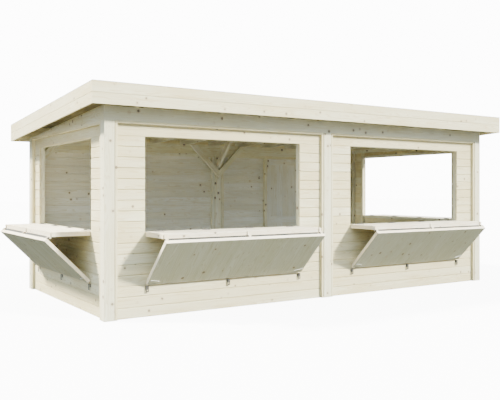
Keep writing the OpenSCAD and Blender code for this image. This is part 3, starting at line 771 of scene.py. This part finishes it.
    # Hooks that hold the open flap, on the face near both lower corners
    hooks = []
    for x, turn in ((x0 + HOOK_INSET, 1), (x1 - HOOK_INSET, -1)):
        hooks.append(hook(on_flap, x, turn, -FLAP_FREE + HOOK_RISE, face))
    plain_object(name + "_hooks", *joined(hooks), HOOKS, name + "_flap", "steel", smooth=True)


def lug(on_flap, x0, x1, steps=12):
    """A flat lug: square at the flap, round about the pin."""
    outline = [(FLAP_PAST, PIVOT_OFF), (-FLAP_PAST, PIVOT_OFF)]
    outline += [(-FLAP_PAST * math.cos(t), -FLAP_PAST * math.sin(t))
                for t in (math.pi * k / steps for k in range(steps + 1))]
    return [on_flap(x, y, z) for x in (x0, x1) for y, z in outline], prism_faces(len(outline))


def box_mesh(at, low, high):
    """Points and faces of a box in the coordinates that at turns into the row frame."""
    points = [at((low[0], high[0])[i], (low[1], high[1])[j], (low[2], high[2])[k])
              for i in (0, 1) for j in (0, 1) for k in (0, 1)]
    return points, HEX_FACES


def screw_head(at, a, i, z, radius=0.004, height=0.0012, sides=14):
    """A low domed head with a small recess in its middle, standing on a face that looks up."""
    rings = [(radius, 0.0), (radius * 0.85, height * 0.7), (radius * 0.4, height),
             (radius * 0.3, height * 0.5)]
    points = [at(a + r * math.cos(t), i + r * math.sin(t), z + h)
              for r, h in rings for t in (2 * math.pi * k / sides for k in range(sides))]
    faces = [tuple(range(sides)), tuple(range(4 * sides - 1, 3 * sides - 1, -1))]
    for n in range(3):
        a0, b0 = n * sides, (n + 1) * sides
        faces += [(a0 + k, a0 + (k + 1) % sides, b0 + (k + 1) % sides, b0 + k) for k in range(sides)]
    return points, faces


def hook(on_flap, x, turn, y, face, radius=0.0025, length=0.110):
    """A cabin hook: an eye screwed into the flap, a rod that lies along it and a bent tip."""
    lift = face + HOOK_LIFT
    eye = [on_flap(x + HOOK_LIFT * math.cos(t), y + HOOK_LIFT * math.sin(t), lift)
           for t in (2 * math.pi * k / 14 for k in range(15))]
    stem = [on_flap(x, y - HOOK_LIFT, face), on_flap(x, y - HOOK_LIFT, lift)]
    path = [(HOOK_LIFT, 0.0), (0.030, -0.004), (length * 0.6, -0.012), (length * 0.86, -0.020),
            (length * 0.95, -0.032), (length, -0.030)]
    arm = [on_flap(x + turn * a, y + b, lift) for a, b in path]
    return joined([rod(eye, radius, 8), rod(stem, radius, 8), rod(arm, radius, 10)])


for name in HATCHES:
    hatch(name)

# ---------------------------------------------------------------------- door


def door():
    """The rear door's leaf: upright boards outside, stiles and rails inside."""
    at = wall_frame("rear")
    low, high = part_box("door_leaf")
    x0, x1 = low.x - low_corner.x, high.x - low_corner.x
    i0, i1 = rear_face - high.y, rear_face - low.y
    handle_z = sum(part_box("door_handle"), Vector()).z / 2
    # The leaf takes the lighter rear wood, painted light for the stall's inside
    leaf = Timber("door_leaf_timber", WOOD["rear"], 0.002)
    boards = round((x1 - x0) / DOOR_BOARD)
    wide = (x1 - x0) / boards
    for n in range(boards):
        leaf.block(at, (x0 + n * wide, i0, low.z), (x0 + (n + 1) * wide, i0 + DOOR_BOARD_T, high.z), 2)
    inner = i0 + DOOR_BOARD_T
    for x in (x0, x1 - STILE_W):
        leaf.block(at, (x, inner, low.z), (x + STILE_W, i1, high.z), 2)
    for z in (low.z, handle_z - MID_RAIL_DROP, high.z - STILE_W):
        leaf.block(at, (x0 + STILE_W, inner, z), (x1 - STILE_W, i1, z + STILE_W), 0)
    leaf.make("door", ["door_leaf"])


door()

for node, look in [("door_handle", STEEL), ("door_hinges", STEEL),
                   ("counter_hinges", DARK_STEEL), ("hasps", HASP_STEEL)]:
    frame["nodes"][node].data.materials.clear()
    frame["nodes"][node].data.materials.append(look)

# ----------------------------------------------------------- floor and light

FLOOR_SIZE = 160
FLOOR_GLOW = 9.0                      # what the camera sees of the floor
FLOOR_MATT = (0.30, 0.30, 0.30, 1)
# Painted light: a bluish floor colour that only bounced rays meet, which lifts the light on the stall's
# inside
PAINTED_ROOM_LIGHT = (0.34, 0.37, 0.42, 1)  # what the floor sends back in the room's rear half
SKY_COLOR = (0.83, 0.95, 1.09, 1)
SKY_LOW, SKY_HIGH = 0.9, 4.4          # strength of the sky at the horizon and overhead
SKY_TOP = 0.9                         # height of a direction from which the sky is at its brightest
BACKDROP_GLOW = 16.0                  # what the camera sees behind the stall

bpy.ops.mesh.primitive_plane_add(size=FLOOR_SIZE, location=(0, 0, 0))
floor = bpy.context.object
floor.name = "studio_floor"
pale = Graph("studio_floor")
speckle = pale.noise(coordinates(pale, 0.6), 1.0, 1.0, 3.0)
place = pale.tree.nodes.new("ShaderNodeTexCoord").outputs["Object"]
spot = pale.node("ShaderNodeSeparateXYZ", Vector=place)

# The rear half of the room, between the beams, where the floor's colour for bounced rays is painted light
# for the stall's inside
room_front, room_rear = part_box("front_beam")[1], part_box("rear_beam")[0]
room_x = room_front.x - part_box("front_right_post")[1].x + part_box("front_right_post")[0].x
quarter = (room_rear.y - room_front.y) / 4
across = pale.math("LESS_THAN", pale.math("ABSOLUTE", spot.outputs["X"]), room_x)
off_middle = pale.math("SUBTRACT", spot.outputs["Y"], room_front.y + 3 * quarter)
along = pale.math("LESS_THAN", pale.math("ABSOLUTE", off_middle), quarter)
# Seen only by bounced rays: nearly black outside that patch, painted shade for the faces that look down
outside = pale.mix(speckle, (0.020, 0.022, 0.020, 1), (0.024, 0.026, 0.024, 1))
painted_bounce = pale.mix(pale.math("MULTIPLY", across, along), outside, PAINTED_ROOM_LIGHT)
pale.finish(painted_bounce, 0.9, pale.bump(speckle, 0.02, 0.001))
glow = pale.node("ShaderNodeEmission", Color=(1, 1, 1, 1), Strength=FLOOR_GLOW)
matt = pale.node("ShaderNodeBsdfDiffuse", Color=FLOOR_MATT)
bright = pale.tree.nodes.new("ShaderNodeAddShader")
pale.feed(bright, "0", glow.outputs[0])
pale.feed(bright, "1", matt.outputs[0])
seen = pale.tree.nodes.new("ShaderNodeLightPath")
choice = pale.node("ShaderNodeMixShader")
pale.feed(choice, "0", seen.outputs["Is Camera Ray"])
pale.feed(choice, "1", pale.shader.outputs[0])
pale.feed(choice, "2", bright.outputs[0])
pale.feed(pale.tree.nodes["Material Output"], "Surface", choice.outputs[0])
floor.data.materials.append(pale.material)


def sun(name, towards, strength, angle, color):
    """A soft distant lamp that shines along a direction."""
    light = bpy.data.lights.new(name, "SUN")
    light.energy, light.angle, light.color = strength, math.radians(angle), color
    lamp = bpy.data.objects.new(name, light)
    lamp.rotation_euler = Vector(towards).to_track_quat("-Z", "Y").to_euler()
    bpy.context.scene.collection.objects.link(lamp)


sun("key_front_right", (-0.66, 1.0, -0.80), 13.5, 6.0, (1.0, 0.97, 0.87))
sun("side_left_back", (1.0, -0.70, -1.35), 23.0, 6.0, (1.0, 0.95, 0.83))

world = bpy.data.worlds.new("studio")
world.use_nodes = True
nodes, links = world.node_tree.nodes, world.node_tree.links
surround = nodes["Background"]
surround.inputs["Color"].default_value = SKY_COLOR
direction = nodes.new("ShaderNodeTexCoord")
height = nodes.new("ShaderNodeSeparateXYZ")
sky = nodes.new("ShaderNodeMapRange")
for key, value in (("From Min", 0.0), ("From Max", SKY_TOP), ("To Min", SKY_LOW), ("To Max", SKY_HIGH)):
    sky.inputs[key].default_value = value
links.new(direction.outputs["Generated"], height.inputs[0])
links.new(height.outputs["Z"], sky.inputs["Value"])
links.new(sky.outputs["Result"], surround.inputs["Strength"])
backdrop = nodes.new("ShaderNodeBackground")
backdrop.inputs["Strength"].default_value = BACKDROP_GLOW
seen = nodes.new("ShaderNodeLightPath")
switch = nodes.new("ShaderNodeMixShader")
links.new(seen.outputs["Is Camera Ray"], switch.inputs[0])
links.new(surround.outputs[0], switch.inputs[1])
links.new(backdrop.outputs[0], switch.inputs[2])
links.new(switch.outputs[0], nodes["World Output"].inputs["Surface"])
bpy.context.scene.world = world

# -------------------------------------------------------------------- camera

CAMERA_FROM_CORNER = Vector((-2.631, -6.952, 1.429))   # from the foot of the front left post
CAMERA_YAW = 33.008        # degrees to the right of straight on to the front
CAMERA_LENS = 48.23        # millimetres, for the sensor width below
CAMERA_SHIFT = -0.019      # keeps the posts upright in the picture
CAMERA_SENSOR = 36.0

camera_data = bpy.data.cameras.new("photo_view")
camera_data.lens = CAMERA_LENS
camera_data.sensor_width = CAMERA_SENSOR
camera_data.shift_y = CAMERA_SHIFT
camera_data.clip_end = 400
camera = bpy.data.objects.new("photo_view", camera_data)
camera.location = Vector((low_corner.x, low_corner.y, 0)) + CAMERA_FROM_CORNER
camera.rotation_euler = (math.radians(90), 0, math.radians(-CAMERA_YAW))
bpy.context.scene.collection.objects.link(camera)
bpy.context.scene.camera = camera
